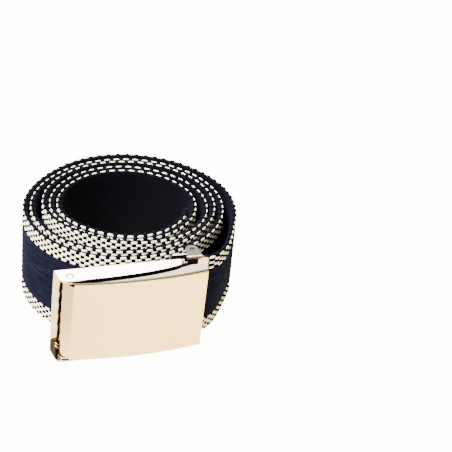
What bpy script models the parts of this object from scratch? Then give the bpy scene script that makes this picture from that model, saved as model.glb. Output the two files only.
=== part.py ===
"""A canvas web belt, rolled up and lying on its lower edge, with its flip-top clamp buckle.

The woven strap starts at the end clamp behind the buckle, goes round the outside of the coil and
winds inward to its plain cut end. The buckle stands against the front of the coil and leans
forward: a stamped back plate with flanges and ears, a bowed cover that turns on a pin at its left
end, and a hinged end clamp with its own pin. Metres, +Z up, the buckle faces -Y.
"""
import math

import bmesh
import bpy
from mathutils import Vector

# Strap
STRAP_WIDTH = 0.038
STRAP_THICKNESS = 0.0023
STRAP_CHAMFER = 0.0005

# Coil: mean radius of the outer turn's centre line, and how finely the strap is stepped
COIL_RADIUS = 0.0415
STEPS_PER_TURN = 64
TAIL_ANGLE = math.radians(1872)

# One row a turn, from the outside in, each a full turn from the buckle's right end round to its
# front. The first row is the radius as a share of COIL_RADIUS, the others are the clear gap to the
# turn outside as a share of STRAP_THICKNESS. The last column lifts the turn off the floor, as a
# share of STRAP_THICKNESS.
COIL_COLUMNS = ("front_right", "right", "back_right", "back",
                "back_left", "left", "front_left", "front", "lift")
COIL_TURNS = (
    (1.100, 1.050, 1.012, 0.988, 0.947, 1.012, 1.043, 0.981, 0.00),
    (1.54, 1.00, 1.04, 1.09, 0.35, 0.35, 0.87, 0.70, 0.10),
    (0.57, 0.48, 0.52, 0.43, 0.43, 1.30, 2.40, 1.20, 0.40),
    (0.40, 0.40, 0.57, 0.30, 0.30, 0.28, 0.26, 0.43, 0.10),
    (1.17, 0.83, 0.25, 0.25, 0.25, 0.35, 0.35, 0.30, 0.00),
    (0.30, 0.30, 0.30, 0.30, 0.30, 0.30, 0.30, 0.30, 0.00),
)

# Where the strap leaves the clamp it leans with the buckle and stands off the floor, and it joins
# the coil at an angle counted from the front. The pulls shape that first bend.
LEAN_FADE_LENGTH = 0.050
RISE_FADE_LENGTH = 0.085
JOIN_ANGLE = math.radians(60)
CLAMP_PULL = 0.7
COIL_PULL = 1.4

# Buckle, shared
SHEET = 0.0008
BEND_RADIUS = 0.0006
FIT_GAP = 0.0003
BUCKLE_LEAN = math.radians(7.3)
COIL_CLEARANCE = 0.0079
BUCKLE_LEFT_END = -0.0406

# Frame
FRAME_END = 0.0024
FRAME_HEIGHT = 0.0416
FLANGE_DEPTH = 0.0069
FLANGE_FALL = 0.0036
FLANGE_LENGTH = 0.0500
FLANGE_SET_BACK = 0.0010
RELIEF_WIDTH = 0.0029
RELIEF_DEPTH = 0.0024
EAR_WIDTH = 0.0062

# Cover
COVER_LEFT = 0.0066
COVER_END_GAP = 0.0018
COVER_FRONT_LEFT = 0.00805
COVER_FRONT_RIGHT = 0.0070
COVER_BOW = 0.0020
COVER_REST_GAP = 0.0028
EDGE_GAP = 0.0006
CAM_BEND_RADIUS = 0.0008
CAM_TIP = 0.0020
CAM_SIDE_RELIEF = 0.0006
TOOTH_COUNT = 5
TOOTH_DEPTH = 0.0015
TOOTH_UNDERCUT = 0.12
LAST_TOOTH = 1.4
LUG_RADIUS = 0.0028
CORNER_RADIUS = 0.0015

# Pins
COVER_PIN_PLACE = 0.0053
COVER_PIN_DEPTH = 0.0040
COVER_PIN_RADIUS = 0.0011
CLAMP_PIN_RADIUS = 0.00065
PIN_RECESS = 0.0002
PIN_SIDES = 20

# End clamp
CLAMP_SHEET = 0.0006
CLAMP_LEAF_LENGTH = 0.0094
CLAMP_WRAP = math.radians(250)
CLAMP_TEETH = 9
CLAMP_TOOTH_DEPTH = 0.0012
STRAP_PAST_LEAF = 0.0015

# Sizes that follow from the ones above
BUCKLE_STAND_OFF = COIL_RADIUS + COIL_CLEARANCE
EAR_PLACE = FLANGE_LENGTH + RELIEF_WIDTH
FRAME_LENGTH = EAR_PLACE + EAR_WIDTH + FRAME_END
COVER_RIGHT = FRAME_LENGTH - COVER_END_GAP
CLAMP_PIN_PLACE = EAR_PLACE + EAR_WIDTH / 2
CLAMP_LEAF_END = CLAMP_PIN_PLACE - CLAMP_LEAF_LENGTH
STRAP_END_PLACE = CLAMP_LEAF_END - STRAP_PAST_LEAF
INNER_HALF = FRAME_HEIGHT / 2 - SHEET
COVER_HALF = INNER_HALF - FIT_GAP
CLAMP_BARREL = CLAMP_PIN_RADIUS + FIT_GAP + CLAMP_SHEET
STRAP_BEHIND = SHEET + FIT_GAP + STRAP_THICKNESS / 2
CLAMP_FRONT = SHEET + FIT_GAP + STRAP_THICKNESS + FIT_GAP
CLAMP_PIN_DEPTH = CLAMP_FRONT + CLAMP_BARREL
BEND_ARC = BEND_RADIUS * math.pi / 2


def clear_scene():
    for thing in list(bpy.data.objects):
        bpy.data.objects.remove(thing, do_unlink=True)


def make_material(name, colour, roughness, metallic):
    material = bpy.data.materials.new(name)
    material.use_nodes = True
    shader = material.node_tree.nodes["Principled BSDF"]
    shader.inputs["Base Color"].default_value = (*colour, 1.0)
    shader.inputs["Roughness"].default_value = roughness
    shader.inputs["Metallic"].default_value = metallic
    return material


def make_object(name, mesh_data, material, parent, place=(0.0, 0.0, 0.0)):
    """An object under its parent, with its own material and smooth round faces."""
    mesh_data.materials.append(material)
    mesh_data.shade_smooth()
    mesh_data.set_sharp_from_angle(angle=math.radians(35))
    thing = bpy.data.objects.new(name, mesh_data)
    bpy.context.scene.collection.objects.link(thing)
    thing.parent = parent
    thing.location = place
    return thing


def make_empty(name, parent=None, place=(0.0, 0.0, 0.0), lean=0.0):
    empty = bpy.data.objects.new(name, None)
    bpy.context.scene.collection.objects.link(empty)
    empty.parent = parent
    empty.location = place
    empty.rotation_euler = (lean, 0.0, 0.0)
    return empty


# Strap

def smooth_through(values, position):
    """A smooth curve through evenly spaced values, at a position counted in steps."""
    step = min(int(position), len(values) - 2)
    share = position - step
    before = values[max(step - 1, 0)]
    here = values[step]
    after = values[step + 1]
    beyond = values[min(step + 2, len(values) - 1)]
    slope_here = (after - before) / 2
    slope_after = (beyond - here) / 2
    square = share * share
    cube = square * share
    return ((2 * cube - 3 * square + 1) * here + (cube - 2 * square + share) * slope_here
            + (3 * square - 2 * cube) * after + (cube - square) * slope_after)


def coil_knots():
    """Radius and lift of the centre line at each of the table's directions, turn after turn."""
    directions = len(COIL_COLUMNS) - 1
    radii = [share * COIL_RADIUS for share in COIL_TURNS[0][:directions]]
    lifts = [COIL_TURNS[0][-1] * STRAP_THICKNESS] * directions
    for row in COIL_TURNS[1:]:
        for gap in row[:directions]:
            radii.append(radii[-directions] - (1 + gap) * STRAP_THICKNESS)
            lifts.append(row[-1] * STRAP_THICKNESS)
    return radii, lifts


def coil_place(angle, radii, lifts):
    """Plan position and lift at an angle counted from the front, round by the right."""
    position = angle / math.radians(45) - 1
    radius = smooth_through(radii, position)
    lift = max(smooth_through(lifts, position), 0.0)
    return Vector((radius * math.sin(angle), -radius * math.cos(angle))), lift


def fade(distance, length):
    """1 at the start, falling smoothly to 0 over the length."""
    share = min(max(distance / length, 0.0), 1.0)
    return 1 - share * share * (3 - 2 * share)


def seat_height():
    """Height of the buckle's middle, so that its lowest corner meets the floor."""
    return FRAME_HEIGHT / 2 * math.cos(BUCKLE_LEAN) + FLANGE_DEPTH * math.sin(BUCKLE_LEAN)


def strap_route():
    """Centre line as (plan position, height above a flat-lying strap, lean), from the clamp in."""
    radii, lifts = coil_knots()
    clamp_plan_y = -BUCKLE_STAND_OFF + STRAP_BEHIND * math.cos(BUCKLE_LEAN)
    clamp_height = seat_height() + STRAP_BEHIND * math.sin(BUCKLE_LEAN)
    clamp_rise = clamp_height - STRAP_WIDTH / 2 * math.cos(BUCKLE_LEAN)
    first = Vector((BUCKLE_LEFT_END + STRAP_END_PLACE, clamp_plan_y))
    leaves = Vector((BUCKLE_LEFT_END + FRAME_LENGTH, clamp_plan_y))
    joins, _ = coil_place(JOIN_ANGLE, radii, lifts)
    onward, _ = coil_place(JOIN_ANGLE + math.radians(1), radii, lifts)
    reach = (joins - leaves).length
    start_pull = Vector((reach * CLAMP_PULL, 0.0))
    end_pull = (onward - joins).normalized() * reach * COIL_PULL

    plan = []
    clamped_steps = 5
    for step in range(clamped_steps):
        plan.append((first.lerp(leaves, step / clamped_steps), 0.0))
    joining_steps = 9
    for step in range(joining_steps):
        share = step / joining_steps
        square = share * share
        cube = square * share
        point = (leaves * (2 * cube - 3 * square + 1) + start_pull * (cube - 2 * square + share)
                 + joins * (3 * square - 2 * cube) + end_pull * (cube - square))
        plan.append((point, 0.0))
    turn_step = math.tau / STEPS_PER_TURN
    coil_steps = int((TAIL_ANGLE - JOIN_ANGLE) / turn_step)
    for step in range(coil_steps + 1):
        plan.append(coil_place(JOIN_ANGLE + step * turn_step, radii, lifts))

    route = []
    travelled = 0.0
    for index, (point, lift) in enumerate(plan):
        if index > clamped_steps:
            travelled += (point - plan[index - 1][0]).length
        lean = BUCKLE_LEAN * fade(travelled, LEAN_FADE_LENGTH)
        rise = clamp_rise * fade(travelled, RISE_FADE_LENGTH)
        route.append((point, max(rise, lift), lean))
    return route


def strap_section():
    """Cross-section as (outward, up) pairs: a flat band with its four corners cut."""
    thick = STRAP_THICKNESS / 2
    wide = STRAP_WIDTH / 2
    cut = STRAP_CHAMFER
    quarter = [(thick, wide - cut), (thick - cut, wide)]
    top = quarter + [(-out, up) for out, up in reversed(quarter)]
    return top + [(-out, -up) for out, up in top]


def make_strap(parent):
    route = strap_route()
    section = strap_section()
    mesh = bmesh.new()
    rings = []
    for index, (point, rise, lean) in enumerate(route):
        before = route[max(index - 1, 0)][0]
        after = route[min(index + 1, len(route) - 1)][0]
        along = (after - before).normalized()
        outward = Vector((along.y, -along.x, 0.0))
        up = Vector((0.0, 0.0, 1.0)) * math.cos(lean) + outward * math.sin(lean)
        across = outward * math.cos(lean) - Vector((0.0, 0.0, 1.0)) * math.sin(lean)
        middle = Vector((point.x, point.y, rise + STRAP_WIDTH / 2 * math.cos(lean)))
        rings.append([mesh.verts.new(middle + across * out + up * high) for out, high in section])
    for ring, following in zip(rings, rings[1:]):
        for corner in range(len(section)):
            neighbour = (corner + 1) % len(section)
            mesh.faces.new((ring[corner], ring[neighbour], following[neighbour], following[corner]))
    mesh.faces.new(rings[0])
    mesh.faces.new(reversed(rings[-1]))
    bmesh.ops.recalc_face_normals(mesh, faces=mesh.faces)
    data = bpy.data.meshes.new("webbing")
    mesh.to_mesh(data)
    mesh.free()
    cloth = make_material("navy_canvas", (0.016, 0.020, 0.055), 0.9, 0.0)
    return make_object("webbing", data, cloth, parent)


# Sheet metal: a flat blank, cut to its outline and holes, then folded

def circle(centre, radius, sides=PIN_SIDES):
    return [(centre[0] + radius * math.cos(math.tau * step / sides),
             centre[1] + radius * math.sin(math.tau * step / sides)) for step in range(sides)]


def arc(centre, radius, start, end, steps=6):
    """Points of an arc in degrees, both ends included."""
    points = []
    for step in range(steps + 1):
        angle = math.radians(start + (end - start) * step / steps)
        points.append((centre[0] + radius * math.cos(angle), centre[1] + radius * math.sin(angle)))
    return points


def folded_sheet(name, outline, holes, cuts_along, cuts_across, fold, thickness):
    """Mesh of a blank drawn flat as (along, across), scored at the cuts, folded and thickened."""
    mesh = bmesh.new()
    for loop in [outline] + holes:
        corners = [mesh.verts.new((along, across, 0.0)) for along, across in loop]
        for index, corner in enumerate(corners):
            mesh.edges.new((corner, corners[(index + 1) % len(corners)]))
    bmesh.ops.triangle_fill(mesh, edges=mesh.edges[:], use_beauty=True)
    scores = [((place, 0.0, 0.0), (1.0, 0.0, 0.0)) for place in cuts_along]
    scores += [((0.0, place, 0.0), (0.0, 1.0, 0.0)) for place in cuts_across]
    for place, direction in scores:
        everything = mesh.verts[:] + mesh.edges[:] + mesh.faces[:]
        bmesh.ops.bisect_plane(mesh, geom=everything, plane_co=place, plane_no=direction, dist=1e-6)
    bmesh.ops.recalc_face_normals(mesh, faces=mesh.faces)
    for corner in mesh.verts:
        corner.co = fold(corner.co.x, corner.co.y)
    flat = bpy.data.meshes.new(name + "_blank")
    mesh.to_mesh(flat)
    mesh.free()
    former = bpy.data.objects.new(name + "_former", flat)
    bpy.context.scene.collection.objects.link(former)
    wall = former.modifiers.new("wall", "SOLIDIFY")
    wall.thickness = thickness
    wall.offset = 0.0
    wall.use_quality_normals = True
    bpy.context.view_layer.update()
    evaluated = former.evaluated_get(bpy.context.evaluated_depsgraph_get())
    solid = bpy.data.meshes.new_from_object(evaluated)
    solid.name = name
    bpy.data.objects.remove(former, do_unlink=True)
    mesh = bmesh.new()
    mesh.from_mesh(solid)
    bmesh.ops.recalc_face_normals(mesh, faces=mesh.faces)
    mesh.to_mesh(solid)
    mesh.free()
    return solid


def side_fold(across, bend_start, flat_half):
    """Side position and fold depth of a blank's edge, folded a quarter turn past bend_start."""
    side = abs(across)
    sign = 1.0 if across >= 0 else -1.0
    past = side - bend_start
    if past <= 0:
        return across, 0.0
    if past >= BEND_ARC:
        return sign * flat_half, BEND_RADIUS + past - BEND_ARC
    angle = past / BEND_RADIUS
    return sign * (bend_start + BEND_RADIUS * math.sin(angle)), BEND_RADIUS * (1 - math.cos(angle))


def blank_reach(depth, bend_start):
    """Distance across the blank that gives a fold depth."""
    return bend_start + BEND_ARC + depth - BEND_RADIUS


def bend_scores(bend_start):
    lines = [bend_start + BEND_ARC * share / 3 for share in range(4)]
    return lines + [-line for line in lines]


def mirrored(half):
    """A closed outline from its upper half, drawn from right to left."""
    return half + [(along, -across) for along, across in reversed(half)]


# Frame

def frame_edge(place):
    """Depth in front of the back plate of the frame flange's edge."""
    share = (place - COVER_PIN_PLACE) / (FLANGE_LENGTH - COVER_PIN_PLACE)
    return FLANGE_DEPTH - FLANGE_FALL * max(share, 0.0) ** 3


def frame_bend_start():
    return FRAME_HEIGHT / 2 - SHEET / 2 - BEND_RADIUS


def make_frame(parent, material):
    bend_start = frame_bend_start()
    relief_floor = bend_start - RELIEF_DEPTH + BEND_RADIUS
    relief_middle = FLANGE_LENGTH + RELIEF_WIDTH / 2

    def forward(depth):
        return blank_reach(depth + SHEET / 2, bend_start)

    def backward(depth):
        return blank_reach(depth - SHEET / 2, bend_start)

    ear_right = EAR_PLACE + EAR_WIDTH
    ear_round = CLAMP_PIN_RADIUS + FIT_GAP + 2 * SHEET
    ear_middle = (CLAMP_PIN_PLACE, backward(CLAMP_PIN_DEPTH))
    half = [(FRAME_LENGTH, bend_start), (ear_right, bend_start + BEND_ARC)]
    half += arc(ear_middle, ear_round, 20, 160)
    half += [(EAR_PLACE, bend_start + BEND_ARC), (EAR_PLACE, relief_floor)]
    half += [(FLANGE_LENGTH, relief_floor), (FLANGE_LENGTH, forward(SHEET))]
    end_round = (frame_edge(FLANGE_LENGTH) - SHEET) / 2
    end_middle = (FLANGE_LENGTH - end_round, forward(frame_edge(FLANGE_LENGTH) - end_round))
    half += arc(end_middle, end_round, 0, 75, 5)
    edge_steps = 12
    edge_start = FLANGE_LENGTH - 2 * end_round
    for step in range(edge_steps + 1):
        place = edge_start + (COVER_PIN_PLACE - edge_start) * step / edge_steps
        half.append((place, forward(frame_edge(place))))
    corner = FLANGE_DEPTH / 3
    corner_middle = (FLANGE_SET_BACK + corner, forward(FLANGE_DEPTH - corner))
    half += arc(corner_middle, corner, 100, 175, 5)
    half += [(0.0, bend_start)]

    holes = []
    for side in (1, -1):
        pin = (COVER_PIN_PLACE, side * forward(COVER_PIN_DEPTH))
        holes.append(circle(pin, COVER_PIN_RADIUS + FIT_GAP))
        clamp = (CLAMP_PIN_PLACE, side * backward(CLAMP_PIN_DEPTH))
        holes.append(circle(clamp, CLAMP_PIN_RADIUS + FIT_GAP))

    def fold(along, across):
        side, depth = side_fold(across, bend_start, FRAME_HEIGHT / 2 - SHEET / 2)
        direction = -1.0 if along < relief_middle else 1.0
        return Vector((along, SHEET / 2 + direction * depth, side))

    scores = bend_scores(bend_start)
    data = folded_sheet("buckle_frame", mirrored(half), holes, [], scores, fold, SHEET)
    return make_object("buckle_frame", data, material, parent)


# Cover

def cover_arc():
    """Circle of the cover's bowed middle surface in side view: centre, radius."""
    left = Vector((COVER_LEFT, COVER_FRONT_LEFT - SHEET / 2))
    right = Vector((COVER_RIGHT, COVER_FRONT_RIGHT - SHEET / 2))
    chord = right - left
    radius = (chord.length_squared / 4 + COVER_BOW ** 2) / (2 * COVER_BOW)
    inward = Vector((chord.y, -chord.x)).normalized()
    centre = (left + right) / 2 + inward * (radius - COVER_BOW)
    return centre, radius


def cover_face(place):
    """Depth of the cover's middle surface, carried on straight past its left end."""
    centre, radius = cover_arc()
    inside = max(place, COVER_LEFT)
    run = inside - centre.x
    depth = centre.y + math.sqrt(radius ** 2 - run ** 2)
    slope = -run / math.sqrt(radius ** 2 - run ** 2)
    return depth + slope * (place - inside)


def cam_pieces():
    """Length and bend radius of the cam's runs: off the cover, down past the pin, to its tips."""
    slope = (cover_face(COVER_LEFT) - cover_face(COVER_LEFT - SHEET)) / SHEET
    heading = math.pi + math.atan(slope)
    inward = Vector((-math.sin(heading), math.cos(heading)))
    bend_centre = Vector((COVER_LEFT, cover_face(COVER_LEFT))) + CAM_BEND_RADIUS * inward
    pin = Vector((COVER_PIN_PLACE, COVER_PIN_DEPTH))
    pin_bend = COVER_PIN_RADIUS + FIT_GAP + SHEET / 2
    reach = pin - bend_centre
    wider = pin_bend - CAM_BEND_RADIUS
    slant = math.atan2(reach.y, reach.x) % (2 * math.pi) - math.asin(wider / reach.length)
    return [(CAM_BEND_RADIUS * (slant - heading), CAM_BEND_RADIUS),
            (math.sqrt(reach.length_squared - wider ** 2), None),
            (pin_bend * (1.5 * math.pi - slant), pin_bend),
            (COVER_PIN_DEPTH - CAM_TIP, None)], heading


def cam_path(distance):
    """Point of the cam's middle surface, a distance along it from the cover's left end."""
    pieces, heading = cam_pieces()
    place = Vector((COVER_LEFT, cover_face(COVER_LEFT)))
    for length, radius in pieces:
        run = min(distance, length)
        if radius:
            ahead = heading + run / radius
            place.x += radius * (math.sin(ahead) - math.sin(heading))
            place.y += radius * (math.cos(heading) - math.cos(ahead))
            heading = ahead
        else:
            place.x += run * math.cos(heading)
            place.y += run * math.sin(heading)
        distance -= run
    return place


def cam_length():
    """Length of the cam from the cover's left end to its tooth tips."""
    pieces, heading = cam_pieces()
    return sum(length for length, radius in pieces)


def cover_edge(place):
    """Depth in front of the back plate of the cover flange's rear edge."""
    return max(frame_edge(place) + EDGE_GAP, COVER_REST_GAP)


def make_cover(parent, material):
    flat_half = COVER_HALF - SHEET / 2
    bend_start = flat_half - BEND_RADIUS
    cam_half = COVER_HALF - SHEET - CAM_SIDE_RELIEF
    pin = (COVER_PIN_PLACE, COVER_PIN_DEPTH)

    def blank(point):
        place, depth = point
        return place, blank_reach(cover_face(place) - depth, bend_start)

    lug_right = COVER_PIN_PLACE + LUG_RADIUS + SHEET
    half = [(COVER_RIGHT, 0.0)]
    corner_middle = (COVER_RIGHT - CORNER_RADIUS, cover_edge(COVER_RIGHT) + CORNER_RADIUS)
    half += [blank(point) for point in arc(corner_middle, CORNER_RADIUS, 0, -90, 4)]
    edge_steps = 12
    for step in range(1, edge_steps + 1):
        place = corner_middle[0] + (lug_right - corner_middle[0]) * step / edge_steps
        half.append(blank((place, cover_edge(place))))
    half += [blank(point) for point in arc(pin, LUG_RADIUS, 0, -240, 12)]
    shoulder = cover_face(COVER_LEFT) - BEND_RADIUS - FIT_GAP
    half.append(blank((COVER_LEFT - SHEET, shoulder)))
    half.append((COVER_LEFT, bend_start))
    half.append((COVER_LEFT, cam_half))

    tip = COVER_LEFT - cam_length()
    pitch = 2 * cam_half / (TOOTH_COUNT + LAST_TOOTH)
    teeth = [(tip, cam_half)]
    for tooth in range(TOOTH_COUNT):
        root = cam_half - (tooth + 1) * pitch
        teeth += [(tip + TOOTH_DEPTH, root + TOOTH_UNDERCUT * pitch), (tip, root)]
    teeth.append((tip + TOOTH_DEPTH, -cam_half))
    lower = [(along, -across) for along, across in reversed(half[1:])]
    outline = half + teeth + lower

    holes = []
    for side in (1, -1):
        rim = [blank(point) for point in circle(pin, COVER_PIN_RADIUS + FIT_GAP)]
        holes.append([(along, side * across) for along, across in rim])

    def fold(along, across):
        if along < COVER_LEFT and abs(across) <= cam_half + 1e-6:
            point = cam_path(COVER_LEFT - along)
            return Vector((point.x, -point.y, across))
        side, depth = side_fold(across, bend_start, flat_half)
        return Vector((along, depth - cover_face(along), side))

    face_steps = 14
    span = COVER_RIGHT - COVER_LEFT
    along_scores = [COVER_LEFT + span * step / face_steps for step in range(face_steps)]
    pieces, heading = cam_pieces()
    reached = 0.0
    for length, radius in pieces[:3]:
        steps = 4 if radius else 1
        along_scores += [COVER_LEFT - reached - length * step / steps for step in range(1, steps + 1)]
        reached += length
    scores = bend_scores(bend_start)
    data = folded_sheet("buckle_cover", outline, holes, along_scores, scores, fold, SHEET)
    origin = Vector((COVER_PIN_PLACE, -COVER_PIN_DEPTH, 0.0))
    for vertex in data.vertices:
        vertex.co -= origin
    return make_object("buckle_cover", data, material, parent, origin)


# End clamp and pins

def make_end_clamp(parent, material):
    """A leaf behind the strap's end, toothed at its free edge and rolled round its pin."""
    half_width = INNER_HALF - FIT_GAP
    roll = CLAMP_BARREL - CLAMP_SHEET / 2
    wrap_length = roll * CLAMP_WRAP
    tip = CLAMP_LEAF_END
    outline = [(CLAMP_PIN_PLACE + wrap_length, -half_width), (CLAMP_PIN_PLACE + wrap_length, half_width)]
    pitch = 2 * half_width / CLAMP_TEETH
    outline.append((tip + CLAMP_TOOTH_DEPTH, half_width))
    for tooth in range(CLAMP_TEETH):
        outline.append((tip, half_width - (tooth + 0.5) * pitch))
        outline.append((tip + CLAMP_TOOTH_DEPTH, half_width - (tooth + 1) * pitch))

    def fold(along, across):
        past = max(along - CLAMP_PIN_PLACE, 0.0)
        angle = math.pi / 2 - past / roll
        place = min(along, CLAMP_PIN_PLACE) + roll * math.cos(angle)
        depth = CLAMP_PIN_DEPTH - roll * math.sin(angle)
        return Vector((place, depth, across))

    wrap_steps = 12
    scores = [CLAMP_PIN_PLACE + wrap_length * step / wrap_steps for step in range(wrap_steps)]
    data = folded_sheet("end_clamp", outline, [], scores, [], fold, CLAMP_SHEET)
    return make_object("end_clamp", data, material, parent)


def make_pin(name, parent, material, place, depth, radius):
    half_length = FRAME_HEIGHT / 2 - PIN_RECESS
    mesh = bmesh.new()
    bmesh.ops.create_cone(mesh, cap_ends=True, segments=PIN_SIDES, radius1=radius, radius2=radius,
                          depth=2 * half_length)
    data = bpy.data.meshes.new(name)
    mesh.to_mesh(data)
    mesh.free()
    return make_object(name, data, material, parent, (place, depth, 0.0))


def centre_on_floor(root):
    """Move the whole belt so that the origin lies under the middle of its bounding box."""
    bpy.context.view_layer.update()
    corners = []
    for thing in bpy.data.objects:
        if thing.type == "MESH":
            corners += [thing.matrix_world @ vertex.co for vertex in thing.data.vertices]
    middle_x = (min(c.x for c in corners) + max(c.x for c in corners)) / 2
    middle_y = (min(c.y for c in corners) + max(c.y for c in corners)) / 2
    root.location = (-middle_x, -middle_y, -min(c.z for c in corners))
    bpy.context.view_layer.update()


clear_scene()
belt = make_empty("belt")
seat = make_empty("buckle_seat", belt, (BUCKLE_LEFT_END, -BUCKLE_STAND_OFF, seat_height()), BUCKLE_LEAN)
make_strap(belt)
make_frame(seat, make_material("frame_nickel", (0.80, 0.76, 0.70), 0.28, 1.0))
make_cover(seat, make_material("cover_brushed_nickel", (0.86, 0.78, 0.66), 0.32, 1.0))
make_end_clamp(seat, make_material("clamp_nickel", (0.72, 0.68, 0.62), 0.35, 1.0))
make_pin("cover_pin", seat, make_material("cover_pin_steel", (0.66, 0.64, 0.60), 0.3, 1.0),
         COVER_PIN_PLACE, -COVER_PIN_DEPTH, COVER_PIN_RADIUS)
make_pin("clamp_pin", seat, make_material("clamp_pin_steel", (0.62, 0.60, 0.57), 0.35, 1.0),
         CLAMP_PIN_PLACE, CLAMP_PIN_DEPTH, CLAMP_PIN_RADIUS)
centre_on_floor(belt)
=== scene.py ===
"""A navy canvas web belt with white woven borders, rolled up, with its flip-top clamp buckle."""
import math

import bmesh
import bpy
import numpy as np
from mathutils import Matrix, Vector


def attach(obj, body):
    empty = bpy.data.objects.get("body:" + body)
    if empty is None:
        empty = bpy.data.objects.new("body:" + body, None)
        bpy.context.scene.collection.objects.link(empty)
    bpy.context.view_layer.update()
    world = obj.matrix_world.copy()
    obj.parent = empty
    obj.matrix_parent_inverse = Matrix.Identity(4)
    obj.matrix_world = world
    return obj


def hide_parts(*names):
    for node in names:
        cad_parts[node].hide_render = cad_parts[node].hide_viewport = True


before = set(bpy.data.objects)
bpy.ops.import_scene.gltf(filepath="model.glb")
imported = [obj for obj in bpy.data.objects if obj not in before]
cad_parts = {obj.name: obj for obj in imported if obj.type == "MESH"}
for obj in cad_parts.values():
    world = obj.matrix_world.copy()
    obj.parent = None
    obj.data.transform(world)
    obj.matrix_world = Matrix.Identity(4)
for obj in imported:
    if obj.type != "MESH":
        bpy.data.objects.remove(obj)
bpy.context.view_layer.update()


def new_material(name):
    """A new material, its node tree and its shader."""
    material = bpy.data.materials.new(name)
    material.use_nodes = True
    tree = material.node_tree
    return material, tree, tree.nodes["Principled BSDF"]


def node(tree, kind, inputs=None, **settings):
    """A node with its settings and inputs, each input a value or a socket to link."""
    made = tree.nodes.new(kind)
    for key, value in settings.items():
        setattr(made, key, value)
    for key, value in (inputs or {}).items():
        if isinstance(value, bpy.types.NodeSocket):
            tree.links.new(value, made.inputs[key])
        else:
            made.inputs[key].default_value = value
    return made


def maths(tree, operation, first, second=None, third=None):
    values = (first, second, third)
    given = {index: value for index, value in enumerate(values) if value is not None}
    return node(tree, "ShaderNodeMath", given, operation=operation).outputs[0]


def blend_colours(tree, share, first, second):
    mix = node(tree, "ShaderNodeMix", {"Factor": share}, data_type="RGBA")
    for socket, value in ((mix.inputs[6], first), (mix.inputs[7], second)):
        if isinstance(value, bpy.types.NodeSocket):
            tree.links.new(value, socket)
        else:
            socket.default_value = (*value, 1.0)
    return mix.outputs[2]


def ramp(tree, value, low, high, to_low=0.0, to_high=1.0):
    settings = {"Value": value, "From Min": low, "From Max": high, "To Min": to_low, "To Max": to_high}
    return node(tree, "ShaderNodeMapRange", settings).outputs["Result"]


def smooth_ramp(tree, value, low, high, to_low, to_high):
    settings = {"Value": value, "From Min": low, "From Max": high, "To Min": to_low, "To Max": to_high}
    made = node(tree, "ShaderNodeMapRange", settings, interpolation_type="SMOOTHSTEP")
    return made.outputs["Result"]


# View. The camera stands where the photograph was taken from, a little tilted, on a long lens.
CAMERA_PLACE = (-0.16078, -0.60826, 0.41260)
VIEW_DIRECTION = (0.269, 0.814, -0.514)
CAMERA_ROLL = math.radians(4.53)
LENS = 142.4
SENSOR = 36.0

camera_data = bpy.data.cameras.new("camera")
camera_data.lens = LENS
camera_data.sensor_width = SENSOR
camera_data.clip_end = 20.0
camera = bpy.data.objects.new("camera", camera_data)
bpy.context.scene.collection.objects.link(camera)
facing = Vector(VIEW_DIRECTION).to_track_quat("-Z", "Y").to_matrix()
rolled = facing @ Matrix.Rotation(CAMERA_ROLL, 3, "Z")
camera.matrix_world = Matrix.Translation(CAMERA_PLACE) @ rolled.to_4x4()
bpy.context.scene.camera = camera

# Lights. A large soft lamp at the upper left of the camera and a weaker one behind the belt.
BELT_MIDDLE = Vector((0.0, 0.0, 0.02))


def soft_light(name, place, width, power):
    """A square lamp turned to the belt."""
    light = bpy.data.lights.new(name, "AREA")
    light.shape = "SQUARE"
    light.size = width
    light.energy = power
    lamp = bpy.data.objects.new(name, light)
    bpy.context.scene.collection.objects.link(lamp)
    lamp.location = place
    lamp.rotation_euler = (BELT_MIDDLE - Vector(place)).to_track_quat("-Z", "Y").to_euler()


soft_light("key_light", (-0.62, -0.40, 0.95), 0.6, 96.0)
soft_light("back_light", (0.2, 0.8, 0.8), 0.8, 44.0)

# Studio. It is white behind the belt and to its left, and dim behind the camera and to the right, so
# bright metal has something to show.
SKY_TINT = (1.0, 0.985, 0.99, 1.0)

world = bpy.data.worlds.new("studio")
world.use_nodes = True
sky = world.node_tree
sky_direction = node(sky, "ShaderNodeTexCoord").outputs["Generated"]
sky_parts = node(sky, "ShaderNodeSeparateXYZ", {0: sky_direction})
from_front = smooth_ramp(sky, sky_parts.outputs[1], -0.75, 0.10, 0.45, 2.6)
from_right = smooth_ramp(sky, sky_parts.outputs[0], 0.05, 0.75, 1.0, 0.06)
backdrop = sky.nodes["Background"]
backdrop.inputs["Color"].default_value = SKY_TINT
sky.links.new(maths(sky, "MULTIPLY", from_front, from_right), backdrop.inputs["Strength"])
bpy.context.scene.world = world

# Floor. A wide sheet of pale paper that glows. Seen straight on its glow is blown out to white. To
# other rays it glows as warm studio light, which shows in the metal, brightest in front of the buckle
# and dimmer to its left and right.
FLOOR_SIZE = 6.0
PAPER_TINT = (0.22, 0.20, 0.17, 1.0)
PAPER_WHITE = (12.0, 12.0, 12.0)
WARM_GLOW = (4.6, 3.9, 2.5)
GLOW_STRENGTH = 1.1

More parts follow.
